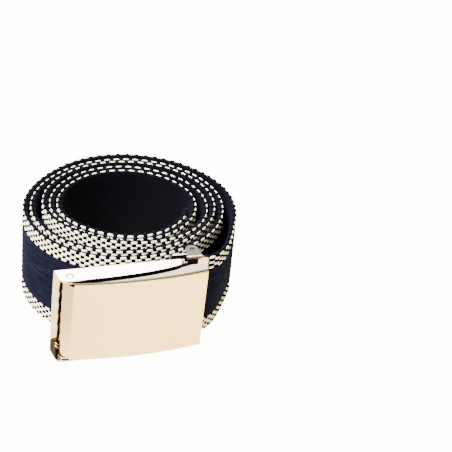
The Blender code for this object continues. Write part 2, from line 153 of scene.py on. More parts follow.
floor_data = bpy.data.meshes.new("floor")
half = FLOOR_SIZE / 2
floor_data.from_pydata([(-half, -half, 0), (half, -half, 0), (half, half, 0), (-half, half, 0)], [],
                       [(0, 1, 2, 3)])
floor = bpy.data.objects.new("floor", floor_data)
bpy.context.scene.collection.objects.link(floor)
paper, tree, shader = new_material("pale_floor")
shader.inputs["Base Color"].default_value = PAPER_TINT
shader.inputs["Roughness"].default_value = 0.9
seen = node(tree, "ShaderNodeLightPath").outputs["Is Camera Ray"]
spot = node(tree, "ShaderNodeTexCoord").outputs["Object"]
sideways = node(tree, "ShaderNodeSeparateXYZ", {0: spot}).outputs[0]
# Painted pool of light: the floor's glow to all but camera rays is dimmed to the left and right of the
# buckle.
glow_share = maths(tree, "MULTIPLY", smooth_ramp(tree, sideways, -0.070, -0.028, 0.30, 1.0),
                   smooth_ramp(tree, sideways, 0.075, 0.035, 0.16, 1.0))
warm_light = node(tree, "ShaderNodeVectorMath", {0: WARM_GLOW, "Scale": glow_share}, operation="SCALE")
glow = blend_colours(tree, seen, warm_light.outputs[0], PAPER_WHITE)
tree.links.new(glow, shader.inputs["Emission Color"])
shader.inputs["Emission Strength"].default_value = GLOW_STRENGTH
floor_data.materials.append(paper)


# Strap. A 38 mm cotton web, woven two layers thick, its navy body ribbed lengthwise by the warp. It is
# one length of cloth, gripped at its start by the buckle's end clamp, rolled inward from there and
# cut square at its tail.
STRAP_WIDTH = 0.038
STRAP_THICKNESS = 0.0023
COIL_CENTRE = (-0.000777, 0.009538)
COIL_RADIUS = 0.0415
TAIL_ANGLE = math.radians(1872)
COIL_STEP = math.radians(2)
# One row a turn: the gap to the turn outside it at eight places, in thicknesses, then its lift off the
# floor. The first row holds the outer turn's radii, as shares of COIL_RADIUS.
COIL_TURNS = (
    (1.100, 1.050, 1.012, 0.988, 0.947, 1.012, 1.043, 0.981, 0.00),
    (1.54, 1.00, 1.04, 1.09, 0.35, 0.35, 0.87, 0.70, 0.10),
    (0.57, 0.48, 0.52, 0.43, 0.43, 1.30, 2.40, 1.20, 0.40),
    (0.40, 0.40, 0.57, 0.30, 0.30, 0.28, 0.26, 0.43, 0.10),
    (1.17, 0.83, 0.25, 0.25, 0.25, 0.35, 0.35, 0.30, 0.00),
    (0.30, 0.30, 0.30, 0.30, 0.30, 0.30, 0.30, 0.30, 0.00),
)
BUCKLE_LEAN = math.radians(7.3)
BUCKLE_MIDDLE_HEIGHT = 0.021508
BUCKLE_STAND_OFF = 0.0494
STRAP_BEHIND = 0.00225
STRAP_START_X = 0.00450
STRAP_LEAVES_X = 0.0209
JOIN_ANGLE = math.radians(60)
CLAMPED_STEPS = 10
FREE_STEPS = 30
CLAMP_PULL = 0.7
COIL_PULL = 1.4
LEAN_FADE_LENGTH = 0.050
RISE_FADE_LENGTH = 0.085
FLOAT_PITCH = 0.00399
RINGS_PER_PITCH = 4
BORDER_WIDTH = 0.0063
BORDER_STEP = 0.0004
BODY_FRONT = 0.00070
CENTRE_FRONT = 0.00100
RIB_HEIGHT = 0.00010
RIB_DIP = 0.00016
RIB_COUNT = 20
EDGE_ROUND = 0.00055


def hermite(a, b, slope_a, slope_b, share):
    """The cubic from a to b with the slopes given at its ends."""
    square = share * share
    cube = square * share
    return ((2 * cube - 3 * square + 1) * a + (cube - 2 * square + share) * slope_a
            + (3 * square - 2 * cube) * b + (cube - square) * slope_b)


def smooth_through(values, position):
    """A smooth curve through evenly spaced values."""
    step = min(int(position), len(values) - 2)
    before = values[max(step - 1, 0)]
    beyond = values[min(step + 2, len(values) - 1)]
    here, after = values[step], values[step + 1]
    return hermite(here, after, (after - before) / 2, (beyond - here) / 2, position - step)


def coil_place(angle):
    """Plan position from the coil's centre, and lift off the floor."""
    radii = [share * COIL_RADIUS for share in COIL_TURNS[0][:8]]
    lifts = [COIL_TURNS[0][8] * STRAP_THICKNESS] * 8
    for row in COIL_TURNS[1:]:
        for gap in row[:8]:
            radii.append(radii[-8] - (1 + gap) * STRAP_THICKNESS)
            lifts.append(row[8] * STRAP_THICKNESS)
    position = angle / math.radians(45) - 1
    radius = smooth_through(radii, position)
    lift = max(smooth_through(lifts, position), 0.0)
    return Vector((radius * math.sin(angle), -radius * math.cos(angle))), lift


def fade(distance, length):
    """1 at no distance, easing to 0 at the length given."""
    share = min(max(distance / length, 0.0), 1.0)
    return 1 - share * share * (3 - 2 * share)


def strap_plan():
    """Centre line in plan with each point's lift, from the clamp to the tail."""
    plan_y = -BUCKLE_STAND_OFF + STRAP_BEHIND * math.cos(BUCKLE_LEAN)
    first = Vector((STRAP_START_X, plan_y))
    leaves = Vector((STRAP_LEAVES_X, plan_y))
    joins, _ = coil_place(JOIN_ANGLE)
    onward, _ = coil_place(JOIN_ANGLE + math.radians(1))
    reach = (joins - leaves).length
    start_pull = Vector((reach * CLAMP_PULL, 0.0))
    end_pull = (onward - joins).normalized() * reach * COIL_PULL
    plan = [(first.lerp(leaves, step / CLAMPED_STEPS), 0.0) for step in range(CLAMPED_STEPS)]
    plan += [(hermite(leaves, joins, start_pull, end_pull, step / FREE_STEPS), 0.0)
             for step in range(FREE_STEPS)]
    steps = int((TAIL_ANGLE - JOIN_ANGLE) / COIL_STEP)
    plan += [coil_place(JOIN_ANGLE + step * COIL_STEP) for step in range(steps + 1)]
    return plan, (leaves - first).length


def strap_rings(spacing):
    """Evenly spaced rings: middle of the section, outward, up and travelled length."""
    plan, clamped = strap_plan()
    points = np.array([tuple(point) for point, _ in plan])
    lifts = np.array([lift for _, lift in plan])
    travelled = np.concatenate(([0.0], np.cumsum(np.linalg.norm(np.diff(points, axis=0), axis=1))))
    along = np.append(np.arange(0.0, travelled[-1] - spacing / 2, spacing), travelled[-1])
    x = np.interp(along, travelled, points[:, 0])
    y = np.interp(along, travelled, points[:, 1])
    lift = np.interp(along, travelled, lifts)
    heading = np.stack([np.gradient(x), np.gradient(y)], axis=1)
    heading /= np.linalg.norm(heading, axis=1)[:, None]
    clamp_height = BUCKLE_MIDDLE_HEIGHT + STRAP_BEHIND * math.sin(BUCKLE_LEAN)
    clamp_rise = clamp_height - STRAP_WIDTH / 2 * math.cos(BUCKLE_LEAN)
    rings = []
    for place in range(len(along)):
        past = along[place] - clamped
        lean = BUCKLE_LEAN * fade(past, LEAN_FADE_LENGTH)
        rise = max(clamp_rise * fade(past, RISE_FADE_LENGTH), lift[place])
        flat = Vector((heading[place][1], -heading[place][0], 0.0))
        up = Vector((0.0, 0.0, 1.0)) * math.cos(lean) + flat * math.sin(lean)
        outward = flat * math.cos(lean) - Vector((0.0, 0.0, 1.0)) * math.sin(lean)
        height = rise + STRAP_WIDTH / 2 * math.cos(lean)
        middle = Vector((x[place] + COIL_CENTRE[0], y[place] + COIL_CENTRE[1], height))
        rings.append((middle, outward, up, along[place]))
    return rings


def web_section(ring):
    """The woven body's cross-section as (outward, up), anticlockwise from the lower front edge.

    Each rib is a row of navy floats, dipping once a repeat, half a repeat out of step with the next.
    """
    half_wide = STRAP_WIDTH / 2
    inner = -STRAP_THICKNESS / 2
    border_at = half_wide - BORDER_WIDTH
    front = [(BODY_FRONT, -half_wide + EDGE_ROUND), (BODY_FRONT, -border_at - BORDER_STEP)]
    steps = RIB_COUNT * 2
    for step in range(steps + 1):
        up = border_at * (2 * step / steps - 1)
        rise = RIB_HEIGHT if step % 2 else -RIB_HEIGHT
        dips = ring % RINGS_PER_PITCH == (step // 2 % 2) * RINGS_PER_PITCH // 2
        if step % 2 and dips:
            rise -= RIB_DIP
        front.append((CENTRE_FRONT + rise, up))
    front += [(BODY_FRONT, border_at + BORDER_STEP), (BODY_FRONT, half_wide - EDGE_ROUND)]
    middle = (BODY_FRONT + inner) / 2
    thick = (BODY_FRONT - inner) / 2
    top = []
    for degrees in (35, 65, 90, 115, 145):
        angle = math.radians(degrees)
        top.append((middle + thick * math.cos(angle),
                    half_wide - EDGE_ROUND + EDGE_ROUND * math.sin(angle)))
    back = [(inner, up) for up in np.linspace(half_wide - EDGE_ROUND, -half_wide + EDGE_ROUND, 12)]
    bottom = [(out, -up) for out, up in reversed(top)]
    return front + top + back + bottom


def object_from(name, data):
    thing = bpy.data.objects.new(name, data)
    bpy.context.scene.collection.objects.link(thing)
    return thing


rings = strap_rings(FLOAT_PITCH / RINGS_PER_PITCH)
cloth = bmesh.new()
weave_uv = cloth.loops.layers.uv.new("weave")
outer_face = cloth.verts.layers.float.new("outer_face")
columns = []
for number, (middle, outward, up, _) in enumerate(rings):
    section = web_section(number)
    column = []
    for out, high in section:
        vertex = cloth.verts.new(middle + outward * out + up * high)
        vertex[outer_face] = min(max(out / BODY_FRONT, 0.0), 1.0)
        column.append(vertex)
    columns.append(column)
for row in range(len(rings) - 1):
    for corner in range(len(section)):
        following = (corner + 1) % len(section)
        face = cloth.faces.new((columns[row][corner], columns[row][following],
                                columns[row + 1][following], columns[row + 1][corner]))
        face.smooth = True
        ends = ((row, corner), (row, following), (row + 1, following), (row + 1, corner))
        for loop, (at_ring, at_corner) in zip(face.loops, ends):
            loop[weave_uv].uv = (rings[at_ring][3], section[at_corner][1])
cloth.faces.new(columns[0])
cloth.faces.new(list(reversed(columns[-1])))
bmesh.ops.recalc_face_normals(cloth, faces=cloth.faces)
web_data = bpy.data.meshes.new("web_body")
cloth.to_mesh(web_data)
cloth.free()
web_body = object_from("web_body", web_data)


def cotton_fuzz_group():
    """Loose fibre and uneven dye on spun cotton: a colour mask and a height."""
    group = bpy.data.node_groups.new("cotton_fuzz", "ShaderNodeTree")
    group.interface.new_socket("Fibre Size", in_out="INPUT", socket_type="NodeSocketFloat")
    group.interface.new_socket("Lint", in_out="OUTPUT", socket_type="NodeSocketFloat")
    group.interface.new_socket("Height", in_out="OUTPUT", socket_type="NodeSocketFloat")
    start = group.nodes.new("NodeGroupInput")
    end = group.nodes.new("NodeGroupOutput")
    place = group.nodes.new("ShaderNodeTexCoord").outputs["Object"]
    density = maths(group, "DIVIDE", 1.0, start.outputs["Fibre Size"])
    fine = node(group, "ShaderNodeTexNoise", {"Vector": place, "Scale": density, "Detail": 4.0,
                                              "Roughness": 0.65})
    coarse_density = maths(group, "MULTIPLY", density, 0.13)
    coarse = node(group, "ShaderNodeTexNoise", {"Vector": place, "Scale": coarse_density,
                                                "Detail": 3.0, "Distortion": 0.6})
    specks = ramp(group, fine.outputs[0], 0.42, 0.72)
    clouds = ramp(group, coarse.outputs[0], 0.35, 0.70)
    lint = maths(group, "MULTIPLY_ADD", specks, 0.65, maths(group, "MULTIPLY", clouds, 0.35))
    group.links.new(lint, end.inputs["Lint"])
    group.links.new(fine.outputs[0], end.inputs["Height"])
    return group


cotton_fuzz = cotton_fuzz_group()


def fuzz_in(tree, fibre_size):
    made = node(tree, "ShaderNodeGroup", node_tree=cotton_fuzz)
    made.inputs["Fibre Size"].default_value = fibre_size
    return made


NAVY_DEEP = (0.0005, 0.0006, 0.0015)
NAVY_FACE = (0.0019, 0.0022, 0.0070)
NAVY_LINT = (0.0110, 0.0120, 0.0300)
NAVY_RUBBED = (0.0085, 0.0098, 0.0260)
NAVY_BACK_AND_SHADE = (0.0013, 0.0013, 0.0020)
NAVY_FIBRE = 0.00055
NAVY_SHEEN = (0.35, 0.38, 0.95, 1.0)
STRAND_DENSITY = (260.0, 1500.0)
RUB_DENSITY = (85.0, 430.0)
BORDER_AT = STRAP_WIDTH / 2 - BORDER_WIDTH
RIB_WIDTH = 2 * BORDER_AT / RIB_COUNT

navy_web, tree, shader = new_material("navy_web")
weave = node(tree, "ShaderNodeUVMap", uv_map="weave").outputs[0]
parts = node(tree, "ShaderNodeSeparateXYZ", {0: weave})
run, across = parts.outputs[0], parts.outputs[1]
fuzz = fuzz_in(tree, NAVY_FIBRE)
rib_number = maths(tree, "DIVIDE", maths(tree, "ADD", across, STRAP_WIDTH), RIB_WIDTH)
rib_crest = maths(tree, "PINGPONG", maths(tree, "MULTIPLY", rib_number, 2.0), 1.0)
odd_rib = maths(tree, "MODULO", maths(tree, "FLOOR", rib_number), 2.0)
repeat = maths(tree, "FRACT", maths(tree, "MULTIPLY_ADD", odd_rib, 0.5,
                                    maths(tree, "DIVIDE", run, FLOAT_PITCH)))
from_dip = maths(tree, "PINGPONG", repeat, 0.5)
float_mask = ramp(tree, from_dip, 0.07, 0.20)
strand_vector = node(tree, "ShaderNodeCombineXYZ",
                     {0: maths(tree, "MULTIPLY", run, STRAND_DENSITY[0]),
                      1: maths(tree, "MULTIPLY", across, STRAND_DENSITY[1])})
strands = node(tree, "ShaderNodeTexNoise", {"Vector": strand_vector.outputs[0], "Scale": 1.0,
                                            "Detail": 3.0, "Roughness": 0.6, "Distortion": 0.8})
strand_mask = ramp(tree, strands.outputs[0], 0.36, 0.66)
# Painted shade: the navy is darker in the grooves between ribs and where the floats dip, with a random
# strand tone mixed in.
thread = maths(tree, "MULTIPLY", maths(tree, "MULTIPLY_ADD", rib_crest, 0.45, 0.55),
               maths(tree, "MULTIPLY_ADD", float_mask, 0.35, 0.65))
thread = maths(tree, "MULTIPLY", thread, maths(tree, "MULTIPLY_ADD", strand_mask, 0.7, 0.3))
base = blend_colours(tree, thread, NAVY_DEEP, NAVY_FACE)
dusty = blend_colours(tree, maths(tree, "MULTIPLY", fuzz.outputs["Lint"], 0.42), base, NAVY_LINT)
rub_vector = node(tree, "ShaderNodeCombineXYZ", {0: maths(tree, "MULTIPLY", run, RUB_DENSITY[0]),
                                                 1: maths(tree, "MULTIPLY", across, RUB_DENSITY[1])})
rubs = node(tree, "ShaderNodeTexNoise", {"Vector": rub_vector.outputs[0], "Scale": 1.0, "Detail": 4.0,
                                         "Roughness": 0.6, "Distortion": 1.4})
rubbed = ramp(tree, rubs.outputs[0], 0.50, 0.78, 0.0, 0.75)
creased = ramp(tree, rubs.outputs[0], 0.28, 0.48, 0.60, 0.0)
dusty = blend_colours(tree, rubbed, dusty, NAVY_RUBBED)
dusty = blend_colours(tree, creased, dusty, NAVY_DEEP)
outer = node(tree, "ShaderNodeAttribute", attribute_name="outer_face").outputs["Fac"]
inner_tone = blend_colours(tree, maths(tree, "MULTIPLY", strand_mask, 0.5), NAVY_BACK_AND_SHADE, NAVY_DEEP)
# Painted shade: under the white border floats the navy body is painted in its darkest navy.
in_border = ramp(tree, maths(tree, "ABSOLUTE", across), BORDER_AT, BORDER_AT + BORDER_STEP)
shadowed = blend_colours(tree, in_border, dusty, NAVY_BACK_AND_SHADE)
sided = blend_colours(tree, ramp(tree, outer, 0.1, 0.9), inner_tone, shadowed)
tree.links.new(sided, shader.inputs["Base Color"])
height = maths(tree, "MULTIPLY_ADD", thread, 0.7, fuzz.outputs["Height"])
bump = node(tree, "ShaderNodeBump", {"Height": height, "Distance": 0.00015, "Strength": 0.9})
tree.links.new(bump.outputs[0], shader.inputs["Normal"])
shader.inputs["Roughness"].default_value = 0.95
shader.inputs["Specular IOR Level"].default_value = 0.02
shader.inputs["Sheen Weight"].default_value = 0.012
shader.inputs["Sheen Roughness"].default_value = 0.4
shader.inputs["Sheen Tint"].default_value = NAVY_SHEEN
web_data.materials.append(navy_web)
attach(web_body, "strap_and_frame")
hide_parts("webbing")


# Borders. White warp yarns float over the navy body along both edges of its outer face, five yarns
# wide. Each dips under a navy pick once a repeat, half a repeat out of step with the next, and shows
# a dot there, its navy painted near black as shade. Navy weft turns bind the edges themselves.
FLOAT_ROWS = 5
ROW_WIDTH = 0.00127
FLOAT_SIZE = (0.00262, 0.00130, 0.00030)
DOT_SIZE = (0.00184, 0.00146, 0.00042)
YARN_SINK = 0.00020
FLOAT_SEAT = 0.00068
EDGE_INSET = 0.00048
SELVEDGE_WIDTH = 0.00125
SELVEDGE_RISE = 0.00036
SELVEDGE_DEPTH = 0.00120
SELVEDGE_PATH = ((0.00070, 0.00062, 0.5), (0.00066, 0.00105, 0.9), (0.00040, 0.00132, 1.0),
                 (-0.00010, 0.00142, 1.0), (-0.00062, 0.00128, 1.0), (-0.00098, 0.00085, 0.9),
                 (-0.00105, 0.00035, 0.4))


def lofted_yarn(name, loops, mapped):
    """A closed skin over rings of points, with two of each point's coordinates as its yarn map."""
    shape = bmesh.new()
    yarn_uv = shape.loops.layers.uv.new("yarn")
    skin = [[shape.verts.new(point) for point in loop] for loop in loops]
    for loop, following in zip(skin, skin[1:]):
        for place in range(len(loop)):
            beside = (place + 1) % len(loop)
            shape.faces.new((loop[place], loop[beside], following[beside], following[place]))
    shape.faces.new(list(reversed(skin[0])))
    shape.faces.new(skin[-1])
    bmesh.ops.recalc_face_normals(shape, faces=shape.faces)
    for face in shape.faces:
        face.smooth = True
        for corner in face.loops:
            corner[yarn_uv].uv = [corner.vert.co[axis] for axis in mapped]
    data = bpy.data.meshes.new(name)
    shape.to_mesh(data)
    shape.free()
    return data


def yarn_lump(name, size):
    """A puffy bit of yarn with rounded ends: a float, or a pick over it."""
    length, width, rise = size
    loops = []
    for share in (-0.485, -0.42, -0.28, 0.0, 0.28, 0.42, 0.485):
        wide_share = (1 - abs(2 * share) ** 3.0) ** (1 / 3.0)
        tall_share = (1 - abs(2 * share) ** 2.4) ** 0.5
        loop = []
        for degrees in (0, 40, 90, 140, 180, 270):
            angle = math.radians(degrees)
            wide = math.cos(angle) * wide_share * width / 2
            tall = rise * tall_share if math.sin(angle) > 0 else YARN_SINK
            loop.append((share * length, wide, math.sin(angle) * tall))
        loops.append(loop)
    return lofted_yarn(name, loops, (0, 1))


def selvedge_shape(side):
    """One turn of navy weft over the strap's edge, from its outer face to its inner face."""
    half_run = SELVEDGE_WIDTH / 2
    loops = []
    for out, high, size in SELVEDGE_PATH:
        loop = []
        for degrees in (0, 60, 120, 180, 270):
            angle = math.radians(degrees)
            swell = math.sin(angle) * size * (SELVEDGE_RISE if degrees < 200 else SELVEDGE_RISE / 2)
            scale = 1 + swell / math.hypot(out, high)
            along = math.cos(angle) * half_run * size
            loop.append((along, side * (high * scale - SELVEDGE_DEPTH), out * scale))
        loops.append(loop)
    return lofted_yarn("selvedge_turn", loops, (2, 0))


def guide_line(name):
    """The strap's middle line as an edge path, with its up and outward directions stored."""
    data = bpy.data.meshes.new(name)
    data.from_pydata([tuple(middle) for middle, _, _, _ in rings],
                     [(index, index + 1) for index in range(len(rings) - 1)], [])
    for label, column in (("outward", 1), ("up", 2)):
        stored = data.attributes.new(label, "FLOAT_VECTOR", "POINT")
        stored.data.foreach_set("vector", np.array([tuple(ring[column]) for ring in rings]).ravel())
    return object_from(name, data)


def rows_along_tree(name, unit, material):
    """Copies of a unit in rows along a guide line, each second row half a pitch on."""
    tree = bpy.data.node_groups.new(name, "GeometryNodeTree")
    tree.interface.new_socket("Geometry", in_out="INPUT", socket_type="NodeSocketGeometry")
    named = (("Pitch", FLOAT_PITCH), ("Row Width", ROW_WIDTH), ("First Row", 0.0),
             ("Seat", FLOAT_SEAT), ("Side", 1.0), ("Length", 1.0), ("Phase", 0.0),
             ("Unevenness", 0.05))
    for label, value in named:
        socket = tree.interface.new_socket(label, in_out="INPUT", socket_type="NodeSocketFloat")
        socket.default_value = value
    rows_socket = tree.interface.new_socket("Rows", in_out="INPUT", socket_type="NodeSocketInt")
    rows_socket.default_value = FLOAT_ROWS
    seed_socket = tree.interface.new_socket("Seed", in_out="INPUT", socket_type="NodeSocketInt")
    seed_socket.default_value = 7
    tree.interface.new_socket("Geometry", in_out="OUTPUT", socket_type="NodeSocketGeometry")
    start = tree.nodes.new("NodeGroupInput")
    end = tree.nodes.new("NodeGroupOutput")
    given = start.outputs

    line = node(tree, "GeometryNodeMeshToCurve", {"Mesh": given["Geometry"]}).outputs[0]
    per_row = maths(tree, "FLOOR", maths(tree, "SUBTRACT",
                                         maths(tree, "DIVIDE", given["Length"], given["Pitch"]), 1.0))
    count = maths(tree, "MULTIPLY", per_row, given["Rows"])
    points = node(tree, "GeometryNodePoints", {"Count": count}).outputs[0]
    index = tree.nodes.new("GeometryNodeInputIndex").outputs[0]
    row = maths(tree, "MODULO", index, given["Rows"])
    column = maths(tree, "FLOOR",
                   maths(tree, "DIVIDE", maths(tree, "ADD", index, 0.01), given["Rows"]))
    odd = maths(tree, "MODULO", row, 2.0)
    step = maths(tree, "ADD", column, maths(tree, "MULTIPLY_ADD", odd, 0.5, given["Phase"]))
    distance = maths(tree, "MULTIPLY", maths(tree, "ADD", step, 0.5), given["Pitch"])

    def sampled(label):
        stored = node(tree, "GeometryNodeInputNamedAttribute", {"Name": label},
                      data_type="FLOAT_VECTOR").outputs["Attribute"]
        sample = node(tree, "GeometryNodeSampleCurve", {"Curves": line, "Length": distance},
                      mode="LENGTH", data_type="FLOAT_VECTOR", use_all_curves=True)
        tree.links.new(stored, sample.inputs["Value"])
        return sample

    outward_sample = sampled("outward")
    up_sample = sampled("up")
    outward = outward_sample.outputs["Value"]
    up = up_sample.outputs["Value"]
    inset = maths(tree, "MULTIPLY_ADD", row, given["Row Width"], given["First Row"])
    high = maths(tree, "MULTIPLY", maths(tree, "SUBTRACT", STRAP_WIDTH / 2, inset), given["Side"])

    def vector_maths(operation, first, second):
        made = node(tree, "ShaderNodeVectorMath", {0: first}, operation=operation)
        socket = made.inputs["Scale"] if operation == "SCALE" else made.inputs[1]
        tree.links.new(second, socket)
        return made.outputs[0]

    lifted = vector_maths("ADD", outward_sample.outputs["Position"], vector_maths("SCALE", up, high))
    placed = vector_maths("ADD", lifted, vector_maths("SCALE", outward, given["Seat"]))
    turned = node(tree, "FunctionNodeAlignRotationToVector",
                  {"Vector": outward_sample.outputs["Tangent"]}, axis="X")
    seated = node(tree, "FunctionNodeAlignRotationToVector",
                  {"Rotation": turned.outputs[0], "Vector": outward}, axis="Z", pivot_axis="X")
    size_low = maths(tree, "SUBTRACT", 1.0, given["Unevenness"])
    size_high = maths(tree, "ADD", 1.0, given["Unevenness"])
    size = node(tree, "FunctionNodeRandomValue", {"Seed": given["Seed"]}, data_type="FLOAT")
    tree.links.new(size_low, size.inputs[2])
    tree.links.new(size_high, size.inputs[3])
    set_place = node(tree, "GeometryNodeSetPosition", {"Geometry": points, "Position": placed})
    unit_info = node(tree, "GeometryNodeObjectInfo", {"Object": unit})
    copies = node(tree, "GeometryNodeInstanceOnPoints",
                  {"Points": set_place.outputs[0], "Instance": unit_info.outputs["Geometry"],
                   "Rotation": seated.outputs[0]})
    spread = node(tree, "ShaderNodeCombineXYZ", {0: 1.0, 1: 1.0, 2: size.outputs[1]})
    tree.links.new(spread.outputs[0], copies.inputs["Scale"])
    solid = node(tree, "GeometryNodeRealizeInstances", {"Geometry": copies.outputs[0]}).outputs[0]
    covered = node(tree, "GeometryNodeSetMaterial", {"Geometry": solid, "Material": material})
    tree.links.new(covered.outputs[0], end.inputs["Geometry"])
    return tree


def rows_piece(name, tree, values):
    """A guide line grown into its rows, as a plain mesh object."""
    guide = guide_line(name + "_guide")
    modifier = guide.modifiers.new("rows", "NODES")
    modifier.node_group = tree
    for item in tree.interface.items_tree:
        if item.item_type == "SOCKET" and item.in_out == "INPUT" and item.name in values:
            modifier[item.identifier] = values[item.name]
    bpy.context.view_layer.update()
    evaluated = guide.evaluated_get(bpy.context.evaluated_depsgraph_get())
    data = bpy.data.meshes.new_from_object(evaluated)
    data.name = name
    guide.modifiers.remove(modifier)
    bpy.data.objects.remove(guide, do_unlink=True)
    return object_from(name, data)


WHITE_YARN = (0.98, 0.93, 0.72)
WHITE_SHADE = (0.84, 0.74, 0.48)
# Painted shade: the dots' navy picks are painted near black, darker than the navy yarn.
DOT_SHADE = (0.0006, 0.0006, 0.0008)
DOT_SHADED_FACE = (0.0010, 0.0010, 0.0015)
PLY_TWIST = math.radians(14)
PLY_DENSITY = (900.0, 3600.0, 1.0)


def yarn_material(name, shade, face, strand_share, fibre_size, gloss):
    """Loose spun yarn: plies along its length, lint and a little shade in its hollows."""
    material, tree, shader = new_material(name)
    fuzz = fuzz_in(tree, fibre_size)
    yarn = node(tree, "ShaderNodeUVMap", uv_map="yarn").outputs[0]
    turned = node(tree, "ShaderNodeMapping", {"Vector": yarn, "Rotation": (0.0, 0.0, PLY_TWIST),
                                              "Scale": PLY_DENSITY})
    plies = node(tree, "ShaderNodeTexNoise", {"Vector": turned.outputs[0], "Scale": 1.0, "Detail": 2.0})
    ply_mask = ramp(tree, plies.outputs[0], 0.36, 0.60)
    light_share = maths(tree, "MULTIPLY_ADD", fuzz.outputs["Lint"], 0.35,
                        maths(tree, "MULTIPLY_ADD", ply_mask, strand_share, 0.65 - strand_share))
    tone = blend_colours(tree, light_share, shade, face)
    tree.links.new(tone, shader.inputs["Base Color"])
    relief = maths(tree, "MULTIPLY_ADD", ply_mask, 0.6, fuzz.outputs["Height"])
    bump = node(tree, "ShaderNodeBump", {"Height": relief, "Distance": 0.00008, "Strength": 0.7})
    tree.links.new(bump.outputs[0], shader.inputs["Normal"])
    shader.inputs["Roughness"].default_value = 0.85
    shader.inputs["Specular IOR Level"].default_value = gloss
    return material


white_cotton = yarn_material("white_cotton", WHITE_SHADE, WHITE_YARN, 0.30, 0.00030, 0.20)
navy_yarn = yarn_material("navy_yarn", NAVY_BACK_AND_SHADE, NAVY_FACE, 0.40, 0.00035, 0.03)
shaded_dot_yarn = yarn_material("shaded_dot_yarn", DOT_SHADE, DOT_SHADED_FACE, 0.40, 0.00035, 0.0)

strap_length = rings[-1][3]
for name, side in (("upper", 1.0), ("lower", -1.0)):
    turn_unit = object_from(name + "_turn_unit", selvedge_shape(side))
    float_unit = object_from(name + "_float_unit", yarn_lump("float_yarn", FLOAT_SIZE))
    dot_unit = object_from(name + "_dot_unit", yarn_lump("shaded_dot_yarn", DOT_SIZE))
    rows = ((name + "_border", float_unit, white_cotton, FLOAT_ROWS, EDGE_INSET, FLOAT_SEAT, 0.0),
            (name + "_dots", dot_unit, shaded_dot_yarn, FLOAT_ROWS, EDGE_INSET, FLOAT_SEAT, 0.5),
            (name + "_selvedge", turn_unit, navy_yarn, 1, 0.0, 0.0, 0.5))
    for piece_name, unit, material, count, first_row, seat, phase in rows:
        tree = rows_along_tree(piece_name + "_rows", unit, material)
        piece = rows_piece(piece_name, tree, {"Side": side, "Length": strap_length, "Rows": count,
                                              "First Row": first_row, "Seat": seat, "Phase": phase})
        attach(piece, "strap_and_frame")
        bpy.data.objects.remove(unit, do_unlink=True)


# Buckle metal. Stamped sheet, nickel plated with a warm tint and polished, with faint drawing
# lines along its length. Inside the closed buckle the plating is dull, and painted dark brown as shade.
BUCKLE_SEAT = (-0.041377, -0.039862, 0.021508)
PAINTED_SHADE_BROWN = (0.020, 0.011, 0.006)
LINE_DENSITY = 4200.0
CLOUD_SIZE = 0.012
FINE_EDGE = 0.0001


def nickel_wear_group():
    """Drawing lines and faint clouding on plated sheet."""
    group = bpy.data.node_groups.new("nickel_wear", "ShaderNodeTree")
    for name in ("Line Density", "Cloud Size"):
        group.interface.new_socket(name, in_out="INPUT", socket_type="NodeSocketFloat")
    for name in ("Lines", "Clouds"):
        group.interface.new_socket(name, in_out="OUTPUT", socket_type="NodeSocketFloat")
    start = group.nodes.new("NodeGroupInput")
    end = group.nodes.new("NodeGroupOutput")
    place = group.nodes.new("ShaderNodeTexCoord").outputs["Object"]
    stretch = node(group, "ShaderNodeMapping", {"Vector": place, "Scale": (0.04, 1.0, 1.0)})
    lines = node(group, "ShaderNodeTexNoise", {"Vector": stretch.outputs[0], "Detail": 3.0,
                                               "Scale": start.outputs["Line Density"]})
    cloud_density = maths(group, "DIVIDE", 1.0, start.outputs["Cloud Size"])
    clouds = node(group, "ShaderNodeTexNoise", {"Vector": place, "Scale": cloud_density, "Detail": 3.0,
                                                "Distortion": 0.5})
    group.links.new(lines.outputs[0], end.inputs["Lines"])
    group.links.new(clouds.outputs[0], end.inputs["Clouds"])
    return group


nickel_wear = nickel_wear_group()


def buckle_place(tree):
    """Place along the buckle from its left end, depth in front of its back plate, and height."""
    place = node(tree, "ShaderNodeTexCoord").outputs["Object"]
    seat = {"Vector": place, "Location": BUCKLE_SEAT, "Rotation": (BUCKLE_LEAN, 0.0, 0.0)}
    local = node(tree, "ShaderNodeMapping", seat, vector_type="TEXTURE")
    parts = node(tree, "ShaderNodeSeparateXYZ", {0: local.outputs[0]})
    return parts.outputs[0], maths(tree, "MULTIPLY", parts.outputs[1], -1.0), parts.outputs[2]


def between(tree, value, low, high, edge=0.0002):
    """1 between two places, 0 outside them."""
    rises = ramp(tree, value, low - edge, low)
    return maths(tree, "MULTIPLY", rises, ramp(tree, value, high, high + edge, 1.0, 0.0))


def distance_from(tree, first, second, middle):
    """Distance from a point, in two directions."""
    squares = [maths(tree, "POWER", maths(tree, "SUBTRACT", value, centre), 2.0)
               for value, centre in ((first, middle[0]), (second, middle[1]))]
    return maths(tree, "SQRT", maths(tree, "ADD", *squares))


def plated_metal(name, bright, dull, roughness):
    """Polished plating, with its tree and shader left open for the piece's own marks."""
    material, tree, shader = new_material(name)
    wear = node(tree, "ShaderNodeGroup", node_tree=nickel_wear)
    wear.inputs["Line Density"].default_value = LINE_DENSITY
    wear.inputs["Cloud Size"].default_value = CLOUD_SIZE
    tint = blend_colours(tree, ramp(tree, wear.outputs["Clouds"], 0.40, 0.72), bright, dull)
    rough = ramp(tree, wear.outputs["Lines"], 0.3, 0.7, roughness * 0.7, roughness * 1.3)
    bump = node(tree, "ShaderNodeBump", {"Height": wear.outputs["Lines"], "Distance": 0.000006,
                                         "Strength": 0.25})
    tree.links.new(bump.outputs[0], shader.inputs["Normal"])
    shader.inputs["Metallic"].default_value = 1.0
    return material, tree, shader, tint, rough


